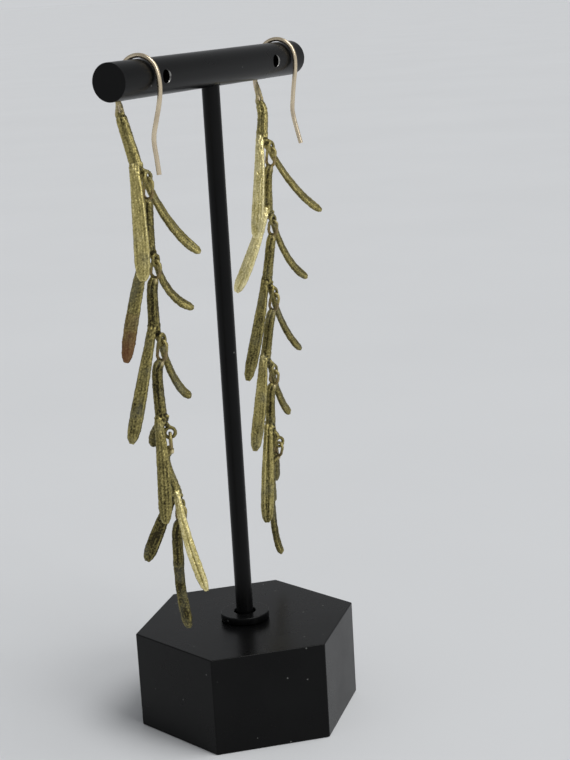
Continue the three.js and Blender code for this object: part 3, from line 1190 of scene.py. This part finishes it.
class Effects:
    """The effects that several finishes share, each a node group made once."""

    def __init__(self) -> None:
        """Makes the groups."""
        self.mottle = self.make_mottle()
        self.specks = self.make_specks()

    @staticmethod
    def start(name: str, inputs: Sequence[str], outputs: Sequence[str]) -> tuple[NodeSheet, ...]:
        """Starts a group with float inputs, a Vector input and float outputs.

        Args:
            name: The group's name.
            inputs: Names of its float inputs.
            outputs: Names of its float outputs.

        Returns:
            The sheet, its input node and its output node.
        """
        tree = bpy.data.node_groups.new(name, "ShaderNodeTree")
        tree.interface.new_socket("Vector", in_out="INPUT", socket_type="NodeSocketVector")
        for label in inputs:
            tree.interface.new_socket(label, in_out="INPUT", socket_type="NodeSocketFloat")
        for label in outputs:
            tree.interface.new_socket(label, in_out="OUTPUT", socket_type="NodeSocketFloat")
        sheet = NodeSheet(tree)
        return sheet, sheet.node("NodeGroupInput"), sheet.node("NodeGroupOutput")

    def make_mottle(self) -> bpy.types.NodeTree:
        """Uneven clouds at two scales, as tarnish and cast skin have."""
        sheet, given, gives = self.start("mottle", ("Scale",), ("Broad", "Fine"))
        for label, factor, detail in (("Broad", 1.0, 3.0), ("Fine", 5.5, 4.0)):
            noise = sheet.node("ShaderNodeTexNoise")
            sheet.feed(noise.inputs["Vector"], given.outputs["Vector"])
            scale = sheet.math("MULTIPLY", given.outputs["Scale"], factor)
            sheet.feed(noise.inputs["Scale"], scale)
            noise.inputs["Detail"].default_value = detail
            noise.inputs["Roughness"].default_value = 0.6
            sheet.feed(gives.inputs[label], sheet.spread(noise.outputs["Fac"], 0.3, 0.7))
        return sheet.tree

    def make_specks(self) -> bpy.types.NodeTree:
        """Small separate spots, as dust and pits have."""
        sheet, given, gives = self.start("specks", ("Scale", "Size"), ("Spots",))
        cells = sheet.node("ShaderNodeTexVoronoi")
        sheet.feed(cells.inputs["Vector"], given.outputs["Vector"])
        sheet.feed(cells.inputs["Scale"], given.outputs["Scale"])
        inside = sheet.math("LESS_THAN", cells.outputs["Distance"], given.outputs["Size"])
        picked = sheet.node("ShaderNodeSeparateColor")
        sheet.feed(picked.inputs[0], cells.outputs["Color"])
        rare = sheet.math("GREATER_THAN", picked.outputs[0], 0.72)
        sheet.feed(gives.inputs["Spots"], sheet.math("MULTIPLY", inside, rare))
        return sheet.tree

    def use(
        self, sheet: NodeSheet, group: bpy.types.NodeTree, where: Socket, **values: float
    ) -> bpy.types.Node:
        """Places a group in a finish.

        Args:
            sheet: The finish's sheet.
            group: The group.
            where: Its coordinates.
            **values: Its float inputs.

        Returns:
            The group's node.
        """
        made = sheet.node("ShaderNodeGroup", node_tree=group)
        sheet.feed(made.inputs["Vector"], where)
        for name, value in values.items():
            made.inputs[name.capitalize()].default_value = value
        return made


def begin_material(name: str) -> tuple[bpy.types.Material, NodeSheet, bpy.types.Node, Socket]:
    """Starts a material.

    Args:
        name: Its name.

    Returns:
        The material, its sheet, its Principled shader and its object coordinates.
    """
    material = bpy.data.materials.new(name)
    material.use_nodes = True
    sheet = NodeSheet(material.node_tree)
    shader = material.node_tree.nodes["Principled BSDF"]
    where = sheet.node("ShaderNodeTexCoord").outputs["Object"]
    return material, sheet, shader, where


@dataclass(frozen=True)
class Bronze:
    """Antiqued cast bronze: gold where it is rubbed, olive in the hollows, grey-green patina. How
    far each limb goes towards gold also carries painted light and shade, through its brightness.
    """

    rubbed: Colour = (0.93, 0.83, 0.46)
    gold: Colour = (0.6, 0.51, 0.2)
    olive: Colour = (0.235, 0.2, 0.072)
    dark: Colour = (0.042, 0.035, 0.016)
    patina: Colour = (0.15, 0.15, 0.105)
    rust: Colour = (0.17, 0.065, 0.035)
    solder: Colour = (0.7, 0.58, 0.4)

    def material(self, effects: Effects) -> bpy.types.Material:
        """Draws the finish.

        Args:
            effects: The shared node groups.

        Returns:
            The material.
        """
        material, sheet, shader, where = begin_material("cast_bronze")
        tone = sheet.node("ShaderNodeAttribute", attribute_name="tone")
        parts = sheet.node("ShaderNodeSeparateXYZ")
        sheet.feed(parts.inputs[0], tone.outputs["Vector"])
        bright, rust, pale = parts.outputs
        hollow = sheet.node("ShaderNodeAttribute", attribute_name="hollow").outputs["Fac"]
        lie = sheet.node("ShaderNodeAttribute", attribute_name="lie").outputs["Vector"]
        along = sheet.node("ShaderNodeMapping")
        sheet.feed(along.inputs["Vector"], lie)
        along.inputs["Scale"].default_value = (3.2, 3.2, 0.32)
        streaks = sheet.spread(sheet.noise(along.outputs[0], 1.0, 3.0), 0.32, 0.68)
        mottle = effects.use(sheet, effects.mottle, where, scale=420)
        broad, fine = mottle.outputs["Broad"], mottle.outputs["Fine"]
        # Painted light and shade: each limb's brightness, set darker where it faces away from the
        # light and brighter where it faces it, starts its level.
        level = sheet.math("MULTIPLY", bright, 0.75)
        for cause, reach in ((fine, 0.12), (streaks, 0.13), (broad, 0.12), (hollow, -0.35)):
            level = sheet.math("ADD", level, sheet.spread(cause, 0, 1, -reach, reach))
        colour = sheet.mix(sheet.spread(level, 0.0, 0.4), self.dark, self.olive)
        colour = sheet.mix(sheet.spread(level, 0.4, 0.95), colour, self.gold)
        colour = sheet.mix(sheet.spread(level, 0.85, 1.35), colour, self.rubbed)
        green = sheet.noise(where, 260, 2.0)
        green = sheet.math("MULTIPLY", sheet.spread(green, 0.52, 0.7), 0.4)
        colour = sheet.mix(green, colour, self.patina)
        colour = sheet.mix(sheet.math("MULTIPLY", rust, 0.8), colour, self.rust)
        colour = sheet.mix(sheet.math("MULTIPLY", pale, 0.85), colour, self.solder)
        sheet.feed(shader.inputs["Base Color"], colour)
        sheet.feed(shader.inputs["Metallic"], sheet.spread(green, 0, 0.5, 0.92, 0.7))
        rough = sheet.spread(level, 0, 1, 0.62, 0.36)
        rough = sheet.math("SUBTRACT", rough, sheet.math("MULTIPLY", pale, 0.08))
        sheet.feed(shader.inputs["Roughness"], rough)
        relief = sheet.math("ADD", fine, sheet.math("MULTIPLY", streaks, 0.8))
        sheet.feed(shader.inputs["Normal"], sheet.bump(relief, 0.5, 0.00006))
        return material


@dataclass(frozen=True)
class WireGold:
    """Drawn gold wire: smooth and pale, with faint lines of drawing and handling, and random bright
    and dull patches that are painted highlight and shade.
    """

    bright: Colour = (0.82, 0.7, 0.5)
    # Painted shade: the darker brown of the wire's patches.
    dull_shade: Colour = (0.5, 0.4, 0.28)

    def material(self, effects: Effects) -> bpy.types.Material:
        """Draws the finish.

        Args:
            effects: The shared node groups.

        Returns:
            The material.
        """
        material, sheet, shader, where = begin_material("drawn_gold_wire")
        mottle = effects.use(sheet, effects.mottle, where, scale=300)
        # Painted highlight and shade: random patches between the bright and the dull colour.
        share = sheet.spread(mottle.outputs["Broad"], 0, 1, 0.1, 0.65)
        sheet.feed(shader.inputs["Base Color"], sheet.mix(share, self.bright, self.dull_shade))
        shader.inputs["Metallic"].default_value = 0.92
        fine = mottle.outputs["Fine"]
        sheet.feed(shader.inputs["Roughness"], sheet.spread(fine, 0, 1, 0.22, 0.36))
        sheet.feed(shader.inputs["Normal"], sheet.bump(fine, 0.12, 0.00002))
        return material


@dataclass(frozen=True)
class BlackCoat:
    """Satin black coat on metal, with fine powder grain, faint smears and specks of dust."""

    black: Colour = (0.0016, 0.0016, 0.0017)
    grey: Colour = (0.0036, 0.0037, 0.0038)
    dust: Colour = (0.22, 0.22, 0.21)

    def material(self, effects: Effects) -> bpy.types.Material:
        """Draws the finish.

        Args:
            effects: The shared node groups.

        Returns:
            The material.
        """
        material, sheet, shader, where = begin_material("satin_black_coat")
        mottle = effects.use(sheet, effects.mottle, where, scale=70)
        colour = sheet.mix(mottle.outputs["Broad"], self.black, self.grey)
        specks = effects.use(sheet, effects.specks, where, scale=420, size=0.07)
        dusty = sheet.math("MULTIPLY", specks.outputs["Spots"], 0.5)
        colour = sheet.mix(dusty, colour, self.dust)
        sheet.feed(shader.inputs["Base Color"], colour)
        rough = sheet.spread(mottle.outputs["Broad"], 0, 1, 0.25, 0.33)
        sheet.feed(shader.inputs["Roughness"], sheet.math("ADD", rough, dusty))
        shader.inputs["Specular IOR Level"].default_value = 0.13
        powder = sheet.noise(where, 5200, 2.0)
        sheet.feed(shader.inputs["Normal"], sheet.bump(powder, 0.25, 0.00003))
        return material


@dataclass(frozen=True)
class MouthHighlight:
    """A painted highlight on the rim of a hole: light grey half metallic patches in the black coat.
    """

    # Painted highlight: the light grey of the rims of the holes.
    metal: Colour = (0.3, 0.295, 0.28)
    coated: Colour = (0.05, 0.05, 0.05)

    def material(self, effects: Effects) -> bpy.types.Material:
        """Draws the finish.

        Args:
            effects: The shared node groups.

        Returns:
            The material.
        """
        material, sheet, shader, where = begin_material("painted_mouth_highlight")
        mottle = effects.use(sheet, effects.mottle, where, scale=900)
        # Painted highlight: patches of the rim go from the black coat to light grey metal.
        highlight_share = sheet.spread(mottle.outputs["Broad"], 0.2, 0.6)
        sheet.feed(shader.inputs["Base Color"], sheet.mix(highlight_share, self.coated, self.metal))
        sheet.feed(shader.inputs["Metallic"], highlight_share)
        rough = sheet.spread(mottle.outputs["Fine"], 0, 1, 0.3, 0.45)
        sheet.feed(shader.inputs["Roughness"], rough)
        return material


# ---------------------------------------------------------------------------------------------
# Studio
# ---------------------------------------------------------------------------------------------


@dataclass(frozen=True)
class SoftSun:
    """A soft light from far off: where it comes from, its width (degrees) and its strength."""

    name: str
    place: tuple[float, float, float]
    width: float
    strength: float


@dataclass
class Studio:
    """The pale floor, the soft lights and the camera."""

    floor_radius: float = 30.0
    floor_colour: Colour = (0.66, 0.67, 0.68)
    sky: Colour = (0.95, 0.97, 1.0)
    sky_strength: float = 0.64
    zenith_share: float = 0.5
    suns: tuple[SoftSun, ...] = (
        SoftSun("above", (0.1, -0.45, 1.0), 40, 1.6),
        SoftSun("right", (-0.2, -1.0, 0.6), 25, 0.8),
    )
    camera_place: Vector = Vector((-0.284415, -0.168094, 0.147515))
    camera_right: Vector = Vector((0.46725, -0.88233, -0.05634))
    camera_up: Vector = Vector((0.22757, 0.05845, 0.97201))
    camera_lens: float = 79.92

    def build(self, effects: Effects) -> None:
        """Builds the studio."""
        self.lay_floor(effects)
        self.light()
        self.set_camera()

    def lay_floor(self, effects: Effects) -> None:
        """Lays a wide pale floor that the base stands on."""
        bpy.ops.object.select_all(action="DESELECT")
        bpy.ops.mesh.primitive_circle_add(
            vertices=96, radius=self.floor_radius, fill_type="NGON"
        )
        floor = bpy.context.view_layer.objects.active
        floor.name = "floor"
        material, sheet, shader, where = begin_material("pale_floor")
        mottle = effects.use(sheet, effects.mottle, where, scale=6)
        paler = tuple(x * 1.03 for x in self.floor_colour)
        colour = sheet.mix(mottle.outputs["Broad"], self.floor_colour, paler)
        sheet.feed(shader.inputs["Base Color"], colour)
        shader.inputs["Roughness"].default_value = 0.7
        floor.data.materials.append(material)

    def light(self) -> None:
        """Sets the soft lights and the pale surroundings."""
        world = bpy.data.worlds.new("pale_room")
        bpy.context.scene.world = world
        world.use_nodes = True
        background = world.node_tree.nodes["Background"]
        sheet = NodeSheet(world.node_tree)
        height = sheet.node("ShaderNodeSeparateXYZ")
        sheet.feed(height.inputs[0], sheet.node("ShaderNodeTexCoord").outputs["Generated"])
        rise = sheet.spread(height.outputs["Z"], 0.0, 0.5)
        zenith = tuple(x * self.zenith_share for x in self.sky)
        sheet.feed(background.inputs["Color"], sheet.mix(rise, self.sky, zenith))
        background.inputs["Strength"].default_value = self.sky_strength
        for sun in self.suns:
            data = bpy.data.lights.new(sun.name, "SUN")
            data.angle = math.radians(sun.width)
            data.energy = sun.strength
            lamp = bpy.data.objects.new(sun.name, data)
            lamp.location = sun.place
            lamp.rotation_euler = (-Vector(sun.place)).to_track_quat("-Z", "Y").to_euler()
            bpy.context.scene.collection.objects.link(lamp)
        bpy.context.scene.view_settings.view_transform = "Standard"

    def set_camera(self) -> None:
        """Places the camera."""
        data = bpy.data.cameras.new("camera")
        data.lens = self.camera_lens
        data.sensor_width = 36
        data.clip_start, data.clip_end = 0.01, 100
        camera = bpy.data.objects.new("camera", data)
        bpy.context.scene.collection.objects.link(camera)
        right, up = self.camera_right.normalized(), self.camera_up.normalized()
        turn = Matrix((right, up, right.cross(up))).transposed()
        camera.matrix_world = Matrix.Translation(self.camera_place) @ turn.to_4x4()
        bpy.context.scene.camera = camera


# ---------------------------------------------------------------------------------------------
# The two earrings
# ---------------------------------------------------------------------------------------------

NEAR_WIRE = tuple(
    Bend(y, z)
    for y, z in (
        (4.45, -7.1), (4.85, -5.6), (5.0, -4.0), (4.9, -2.2), (4.5, -0.3), (3.8, 1.6),
        (2.55, 3.22), (0.95, 3.98), (-0.75, 4.03), (-2.35, 3.36), (-3.5, 2.14), (-4.05, 0.6),
        (-4.25, -0.9), (-4.2, -2.7), (-3.75, -5.0), (-3.0, -7.6), (-2.3, -10.2),
        (-2.22, -11.8), (-2.45, -13.8), (-2.8, -17.35),
    )
)

# Each limb's brightness here is partly its own tone and partly painted light and shade: leaves that
# face away from the light are set dark, leaves that face it bright.
NEAR_TWIGS = (
    Twig(0.25, 17.8, -1.6, 1.8, ToneAndShading(0.6), (
        Leaf(Side.FRONT, (-1.6, -4.8, 36.1), (0.3, -0.8, -0.2), 3.0, 0, Face.GRAINED, ToneAndShading(0.9)),
        Leaf(Side.BACK, (8.7, 3.4, 32.6), (-0.4, 0.2, -2.1), 2.5, -68, Face.GROOVED, ToneAndShading(0.45)),
    )),
    Twig(0.55, 33.1, -0.45, 2.1, ToneAndShading(0.22), (
        Leaf(Side.FRONT, (-6.0, -3.7, 51.4), (0.0, -0.5, 1.4), 2.7, 5, Face.STREAKED,
             ToneAndShading(0.42, rust=1.0)),
        Leaf(Side.BACK, (6.7, 3.2, 43.0), (-1.1, 0.1, -1.9), 2.4, -80, Face.GROOVED, ToneAndShading(0.3)),
    ), ring=3.8, swing=6, shoulder=-0.2),
    Twig(0.65, 48.1, -0.65, 2.0, ToneAndShading(0.16), (
        Leaf(Side.FRONT, (-6.2, -3.7, 66.9), (0.1, -0.5, -0.1), 2.7, 5, Face.GRAINED, ToneAndShading(0.4)),
        Leaf(Side.BACK, (5.0, 3.2, 60.0), (-0.5, 0.1, -2.3), 2.4, -80, Face.GROOVED, ToneAndShading(0.25)),
    ), ring=3.1, swing=12, shoulder=-0.4),
    Twig(0.85, 66.0, -0.6, 2.6, ToneAndShading(0.15), (
        Leaf(Side.FRONT, (-0.9, -4.0, 82.7), (0.3, -0.7, 0.5), 2.75, 0, Face.RIDGED, ToneAndShading(0.42)),
        Leaf(Side.BACK, (-2.9, 7.5, 70.5), (-0.7, -0.2, 0.5), 2.4, -20, Face.GROOVED, ToneAndShading(0.12)),
    ), ring=3.8, swing=10, shoulder=-0.6, eye_turn=8),
    Twig(1.9, 80.4, 1.15, 2.2, ToneAndShading(0.35), (
        Leaf(Side.LEFT, (-5.4, -0.6, 91.1), (0.4, -0.2, 1.0), 2.7, 15, Face.GRAINED, ToneAndShading(0.05)),
        Leaf(Side.RIGHT, (5.9, -3.4, 96.8), (-0.6, -0.5, 0.4), 2.15, 0, Face.CHANNELLED,
             ToneAndShading(1.05)),
    ), ring=2.9, swing=0, shoulder=-0.5),
    Twig(0, 92.7, 0.65, 0, ToneAndShading(0.1), (
        Leaf(Side.END, (1.7, 0.0, 105.4), (-0.4, 0.1, 0.5), 2.3, 15, Face.GRAINED, ToneAndShading(0.08)),
    ), ring=3.0, swing=10, shoulder=0.9),
)

FAR_WIRE = tuple(
    Bend(y, z)
    for y, z in (
        (4.5, -9.4), (5.05, -7.2), (5.5, -4.9), (5.5, -2.5), (4.9, -0.3), (3.95, 1.6),
        (2.6, 3.2), (0.95, 3.98), (-0.75, 4.03), (-2.35, 3.36), (-3.5, 2.14), (-4.05, 0.6),
        (-4.13, -0.9), (-4.0, -2.6), (-3.6, -5.0), (-3.2, -7.8), (-2.95, -10.2),
        (-3.15, -11.9), (-3.75, -14.4), (-4.5, -17.25),
    )
)

# Each limb's brightness here is partly its own tone and partly painted light and shade: leaves that
# face away from the light are set dark, leaves that face it bright.
FAR_TWIGS = (
    Twig(-2.3, 17.9, -4.1, 1.8, ToneAndShading(0.6), (
        Leaf(Side.FRONT, (-6.5, -4.8, 36.3), (0.3, -0.8, 0.5), 2.65, 0, Face.GRAINED, ToneAndShading(1.32)),
        Leaf(Side.BACK, (7.58, 3.36, 32.2), (-0.1, 0.2, -2.1), 2.5, -74, Face.GROOVED, ToneAndShading(0.42)),
    )),
    Twig(-2.8, 33.2, -3.8, 2.1, ToneAndShading(0.4), (
        Leaf(Side.FRONT, (-11.3, -3.7, 47.6), (0.4, -0.5, 0.0), 2.7, 0, Face.STREAKED, ToneAndShading(1.42)),
        Leaf(Side.BACK, (3.8, 3.2, 46.4), (-0.7, 0.1, -2.2), 2.4, -75, Face.GROOVED, ToneAndShading(0.32)),
    ), ring=3.8, swing=10, shoulder=-3.3),
    Twig(-3.35, 48.8, -4.85, 2.2, ToneAndShading(0.35), (
        Leaf(Side.FRONT, (-10.1, -3.7, 66.9), (0.6, -0.5, 1.4), 2.7, 8, Face.GRAINED, ToneAndShading(0.4)),
        Leaf(Side.BACK, (1.6, 3.2, 62.1), (-0.6, 0.1, -1.6), 2.4, -78, Face.GROOVED, ToneAndShading(0.25)),
    ), ring=3.0, swing=10, shoulder=-3.5),
    Twig(-4.35, 65.6, -6.1, 2.8, ToneAndShading(0.35), (
        Leaf(Side.FRONT, (-9.5, -3.7, 82.5), (0.4, -0.5, 1.1), 2.75, 0, Face.GRAINED, ToneAndShading(0.7)),
        Leaf(Side.BACK, (-1.6, 3.2, 76.1), (0.0, 0.1, -2.4), 2.3, -74, Face.GROOVED, ToneAndShading(0.25)),
    ), ring=3.6, swing=14, shoulder=-4.5),
    Twig(-4.2, 81.7, -5.9, 3.6, ToneAndShading(0.35), (
        Leaf(Side.FRONT, (-7.8, -3.9, 98.7), (0.0, -0.6, 0.3), 2.95, 0, Face.CHANNELLED,
             ToneAndShading(0.65)),
        Leaf(Side.BACK, (-5.4, 8.0, 92.5), (0.2, -0.5, -1.2), 2.2, -68, Face.GROOVED, ToneAndShading(0.15)),
    ), ring=2.9, swing=12, shoulder=-5.4, eye_turn=40),
    Twig(0, 94.9, -6.6, 0, ToneAndShading(0.2), (
        Leaf(Side.END, (-5.0, 0.0, 107.1), (-0.4, 0.1, -2.3), 2.0, -60, Face.GRAINED, ToneAndShading(0.15)),
    ), ring=3.0, swing=22, shoulder=-6.1),
)

NEAR_EARRING = Earring("near", -25.0, NEAR_WIRE, NEAR_TWIGS)
FAR_EARRING = Earring("far", 27.7, FAR_WIRE, FAR_TWIGS)


def main() -> None:
    """Builds the stand, the earrings and the studio, in that order."""
    logging.basicConfig(level=logging.INFO, format="%(name)s: %(message)s")
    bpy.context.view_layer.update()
    bpy.ops.object.select_all(action="DESELECT")
    effects = Effects()
    stand = Stand()
    stand.build(BlackCoat().material(effects), MouthHighlight().material(effects))
    bronze, wire_gold = Bronze().material(effects), WireGold().material(effects)
    for earring in (NEAR_EARRING, FAR_EARRING):
        earring.build(bronze, wire_gold)
    Studio().build(effects)
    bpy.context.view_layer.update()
    pieces = len(stand.made) + len(NEAR_EARRING.made) + len(FAR_EARRING.made)
    log.info("%d pieces built", pieces)


if __name__ == "__main__":
    main()
